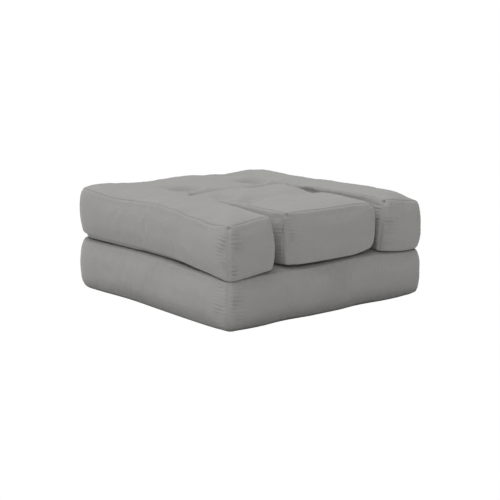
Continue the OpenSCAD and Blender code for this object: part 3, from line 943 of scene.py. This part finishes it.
class ClothLooks(bpy.types.PropertyGroup):
    """Colour and weave of the covers"""

    colour: FloatVectorProperty(name="Colour", description="Colour of the cotton", size=3,
                                subtype="COLOR", default=(0.258, 0.255, 0.246), min=0, max=1)
    weave: setting("Weave", "Distance from one thread to the next but one", 1.3 * MM,
                   unit="LENGTH")
    variation: setting("Variation", "How far the threads differ in colour", 0.06, **SHARE)


class CushionSizes(bpy.types.PropertyGroup):
    """Seams, puckers and filling of the cushions"""

    seam_depth: setting("Seam depth", "How deep a seam sinks in", 2.2 * MM, unit="LENGTH")
    seam_width: setting("Seam width", "Half the width of a seam's groove", 2.4 * MM,
                        unit="LENGTH")
    pucker_height: setting("Pucker height", "Height of the corner puckers", 2.3 * MM,
                           unit="LENGTH")
    pucker_pitch: setting("Pucker spacing", "From one pucker to the next", 12 * MM,
                          unit="LENGTH")
    pucker_reach: setting("Pucker length", "How far a pucker runs", 38 * MM, unit="LENGTH")
    pressure: setting("Pressure", "Pressure of the filling on the cloth", 4.0)
    slack: setting("Slack", "Share by which the cloth is cut too large", 0.004,
                   subtype="FACTOR", min=0, max=0.1)
    top_share: setting("Top share", "Share of that movement on the top", 0.3, **SHARE)
    swell_cap: setting("Swell limit", "Most that the pressure moves the cloth", 5 * MM,
                       unit="LENGTH")


class StageLooks(bpy.types.PropertyGroup):
    """Floor, light and camera"""

    sky: setting("Sky", "Strength of the light from straight above", 1.27)
    horizon: setting("Horizon", "Strength of the light from the horizon", 0.05)
    sun: setting("Lamp", "Strength of the lamp from above left", 1.62)
    softness: setting("Softness", "How soft the lamp's shadow is", math.radians(50),
                      subtype="ANGLE")
    shadow: setting("Contact shadow", "How far round it the floor is darker", 45 * MM,
                    unit="LENGTH")
    lens: setting("Lens", "Focal length", 95.9, unit="CAMERA")


class CHAIRBED_OT_stage(bpy.types.Operator):
    """Floor, backdrop, light and the camera"""

    bl_idname = "chairbed.stage"
    bl_label = "Stage"

    def execute(self, context):
        scene, looks = context.scene, context.scene.chair_bed_stage
        half = 30.0
        points = np.array([(-half, -half, 0), (half, -half, 0), (half, half, 0), (-half, half, 0)])
        floor = new_mesh("floor", points, np.array([(0, 1, 2, 3)]))
        s = Shader("floor_white")
        # Painted shade: the floor's colour falls from 0.9 to 0.2 close round the object, standing
        # in for a contact shadow in the light that the floor throws back on to the cushions' lower
        # sides. The camera itself sees the floor plain white.
        place = s.node("ShaderNodeSeparateXYZ",
                       values={0: s.node("ShaderNodeTexCoord", out=3)})
        beyond = [place.out(k).math("ABSOLUTE") - CAD_BOX[1][k] for k in (0, 1)]
        near = beyond[0].math("MAXIMUM", beyond[1])
        share = s.node("ShaderNodeMapRange", {"interpolation_type": "SMOOTHSTEP"},
                       {0: near, 1: -0.02, 2: looks.shadow, 3: 0.0, 4: 1.0})
        s.finish(Base_Color=s.mix(share, (0.2, 0.2, 0.2, 1), (0.9, 0.9, 0.9, 1)), Roughness=0.9,
                 Specular_IOR_Level=0.0)
        plain = s.node("ShaderNodeEmission", values={"Color": WHITE, "Strength": 1.0})
        seen = s.node("ShaderNodeLightPath")
        mixed = s.node("ShaderNodeMixShader",
                       values={0: seen, 1: Value(s, s.surface.outputs[0]), 2: plain})
        s.give(s.tree.nodes["Material Output"].inputs[0], mixed)
        floor.data.materials.append(s.material)

        world = bpy.data.worlds.new("studio")
        world.use_nodes = True
        air = Nodes(world.node_tree)
        light = air.tree.nodes["Background"]
        up = air.node("ShaderNodeSeparateXYZ", values={0: air.node("ShaderNodeTexCoord")}, out=2)
        air.give(light.inputs["Color"], WHITE)
        air.give(light.inputs["Strength"], air.node("ShaderNodeMapRange", values={
            "Value": up, "To Min": looks.horizon, "To Max": looks.sky}))
        backdrop = air.node("ShaderNodeBackground", values={"Color": WHITE})
        seen = path = air.node("ShaderNodeLightPath")
        for ray in ("Is Glossy Ray", "Is Transmission Ray"):
            seen = seen.math("MAXIMUM", path.out(ray))
        mixed = air.node("ShaderNodeMixShader",
                         values={0: seen, 1: Value(air, light.outputs[0]), 2: backdrop})
        air.give(air.tree.nodes["World Output"].inputs[0], mixed)
        scene.world = world

        lamp = bpy.data.lights.new("window", "SUN")
        lamp.energy = looks.sun
        lamp.angle = looks.softness
        holder = linked("window", lamp)
        holder.rotation_mode = "QUATERNION"
        holder.rotation_quaternion = Vector(LAMP_WAY).to_track_quat("Z", "Y")

        camera = linked("camera", bpy.data.cameras.new("camera"))
        camera.data.sensor_width = 36
        camera.data.lens = looks.lens
        camera.data.clip_end = 100
        camera.location = CAMERA_PLACE
        camera.rotation_mode = "QUATERNION"
        camera.rotation_quaternion = Vector(CAMERA_WAY).to_track_quat("-Z", "Y")
        scene.camera = camera
        scene.view_settings.view_transform = "Standard"
        return {"FINISHED"}


FORMS = {"base": base_form, "upper": upper_form, "backrest": flap_form}


class Cover:
    """What the cushions' operators share: each makes its body's cover."""

    def execute(self, context):
        cushion(self.body + "_cushion", self.body, FORMS[self.body](),
                context.scene.chair_bed_sizes)
        return {"FINISHED"}


class CHAIRBED_OT_base_cushion(Cover, bpy.types.Operator):
    """Cover of the base cushion"""

    bl_idname = "chairbed.base_cushion"
    bl_label = "Base cushion"
    body = "base"


class CHAIRBED_OT_upper_cushion(Cover, bpy.types.Operator):
    """Cover of the upper cushion with its two arms"""

    bl_idname = "chairbed.upper_cushion"
    bl_label = "Upper cushion"
    body = "upper"


class CHAIRBED_OT_backrest_cushion(Cover, bpy.types.Operator):
    """Cover of the backrest flap"""

    bl_idname = "chairbed.backrest_cushion"
    bl_label = "Backrest cushion"
    body = "backrest"


def strip_places():
    """The rear strip's lower and upper seam heights, their Y, its fold's Y; the fold strip's Z."""
    middle = np.array([0, OUTER_HIGH.y])
    return (float(base_form().top_seam(middle)), float(upper_form().under_seam(middle)),
            OUTER_HIGH.y + 1 * MM, REAR_PIVOT.y,
            float(flap_form().top_seam(np.array([0, FOLD_PIVOT.y]))))


class CHAIRBED_OT_stitches(bpy.types.Operator):
    """Stitch rows along the hinge strips, and crossed threads at the tufts"""

    bl_idname = "chairbed.stitches"
    bl_label = "Stitches"

    def execute(self, context):
        low, high, edge, out, level = strip_places()
        long, short = (5 * MM, 0, 0), (3.5 * MM, 0, 0)
        tables = {"base": [], "upper": [], "backrest": []}
        for x in np.arange(-0.304, 0.305, 8 * MM):
            tables["base"].append(((x, edge + 5 * MM, low + 1.2 * MM), long))
            tables["upper"].append(((x, edge + 5 * MM, high - 0.6 * MM), long))
        for x in np.arange(-0.165, 0.166, 6 * MM):
            tables["upper"].append(((x, FOLD_PIVOT.y + 3.6 * MM, level + 0.4 * MM), short))
            tables["backrest"].append(((x, FOLD_PIVOT.y - 3.6 * MM, level + 0.4 * MM), short))
        for body, places in (("upper", REAR_TUFTS), ("backrest", FLAP_TUFTS)):
            points = vertices(bpy.data.objects[body + "_cushion"].data)
            for x, y in places:
                near = np.hypot(points[:, 0] - x, points[:, 1] - y) < 6 * MM
                z = points[near, 2].max() + 0.4 * MM
                tables[body] += [((x, y, z), (8 * MM, way * MM, 0)) for way in (5, -5)]
        thread = fibre("grey_thread", (0.2, 0.2, 0.19), 900.0, 0.2 * MM, 0.8, 2.0)
        for body, table in tables.items():
            stitched(body + "_stitches", body, table, thread)
        return {"FINISHED"}


class CHAIRBED_OT_hinge_strips(bpy.types.Operator):
    """Cloth strips that join the cushions at both folds"""

    bl_idname = "chairbed.hinge_strips"
    bl_label = "Hinge strips"

    def execute(self, context):
        low, high, edge, out, level = strip_places()
        rear = strip("rear_hinge_strip", 0.62,
                     [(edge, low), (edge + 0.5 * (out - edge), low + 0.4 * (LAYER - low)),
                      (out - 3 * MM, LAYER - 2 * MM), (out, LAYER), (out - 3 * MM, LAYER + 2 * MM),
                      (edge + 0.5 * (out - edge), LAYER + 0.6 * (high - LAYER)), (edge, high)],
                     STRIP_THICK)
        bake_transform(rear)
        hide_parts("rear_strip_base_leaf", "rear_strip_upper_leaf")

        y = FOLD_PIVOT.y
        fold = strip("fold_hinge_strip", 0.34,
                     [(y - FOLD_SEAM_GAP, level), (y - 2 * MM, level - 1 * MM),
                      (y, level - 1.3 * MM), (y + 2 * MM, level - 1 * MM),
                      (y + FOLD_SEAM_GAP, level)], STRIP_THICK)
        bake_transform(fold)
        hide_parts("fold_strip_rear_leaf", "fold_strip_backrest_leaf")
        return {"FINISHED"}


class CHAIRBED_OT_filling(bpy.types.Operator):
    """Felt, foam and cord of the pieces inside the covers"""

    bl_idname = "chairbed.filling"
    bl_label = "Filling"

    def execute(self, context):
        kinds = {
            "wadding": fibre("cotton_felt", (0.84, 0.82, 0.76), 260.0, 1.5 * MM, 0.95),
            "core": fibre("cut_foam", (0.9, 0.87, 0.68), 420.0, 0.8 * MM, 0.85, 3.0),
            "ties": fibre("tuft_cord", (0.7, 0.69, 0.65), 900.0, 0.4 * MM, 0.8, 2.0),
        }
        for name, node in frame["nodes"].items():
            for kind, material in kinds.items():
                if name.endswith(kind):
                    node.data.materials.clear()
                    node.data.materials.append(material)

        # The top wadding follows its cover, which lies lower than the CAD's in places
        for body in ("upper", "backrest"):
            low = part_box(body + "_top_wadding")[0].z
            felt = layer(body + "_wadding", FORMS[body](), low, FELT_BELOW)
            felt.data.materials.append(kinds["wadding"])
            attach(felt, body)
            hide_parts(body + "_top_wadding")
        return {"FINISHED"}


class CHAIRBED_PT_panel(bpy.types.Panel):
    """The pieces of the chair bed"""

    bl_label = "Chair bed"
    bl_space_type = "VIEW_3D"
    bl_region_type = "UI"
    bl_category = "Chair bed"

    def draw(self, context):
        for group in (context.scene.chair_bed_cloth, context.scene.chair_bed_sizes,
                      context.scene.chair_bed_stage):
            for key in group.bl_rna.properties.keys():
                if key not in ("rna_type", "name"):
                    self.layout.prop(group, key)
        for operator in OPERATORS:
            self.layout.operator(operator.bl_idname)


GROUPS = {"chair_bed_cloth": ClothLooks, "chair_bed_sizes": CushionSizes,
          "chair_bed_stage": StageLooks}
OPERATORS = (CHAIRBED_OT_stage, CHAIRBED_OT_filling, CHAIRBED_OT_base_cushion,
             CHAIRBED_OT_upper_cushion, CHAIRBED_OT_backrest_cushion, CHAIRBED_OT_hinge_strips,
             CHAIRBED_OT_stitches)


def register():
    for kind in (*GROUPS.values(), *OPERATORS, CHAIRBED_PT_panel):
        bpy.utils.register_class(kind)
    for name, kind in GROUPS.items():
        setattr(bpy.types.Scene, name, PointerProperty(type=kind))


def unregister():
    for name in GROUPS:
        delattr(bpy.types.Scene, name)
    for kind in (CHAIRBED_PT_panel, *reversed(OPERATORS), *GROUPS.values()):
        bpy.utils.unregister_class(kind)


def main():
    register()
    for operator in OPERATORS:
        getattr(bpy.ops.chairbed, operator.bl_idname.split(".")[1])()


if __name__ == "__main__":
    main()
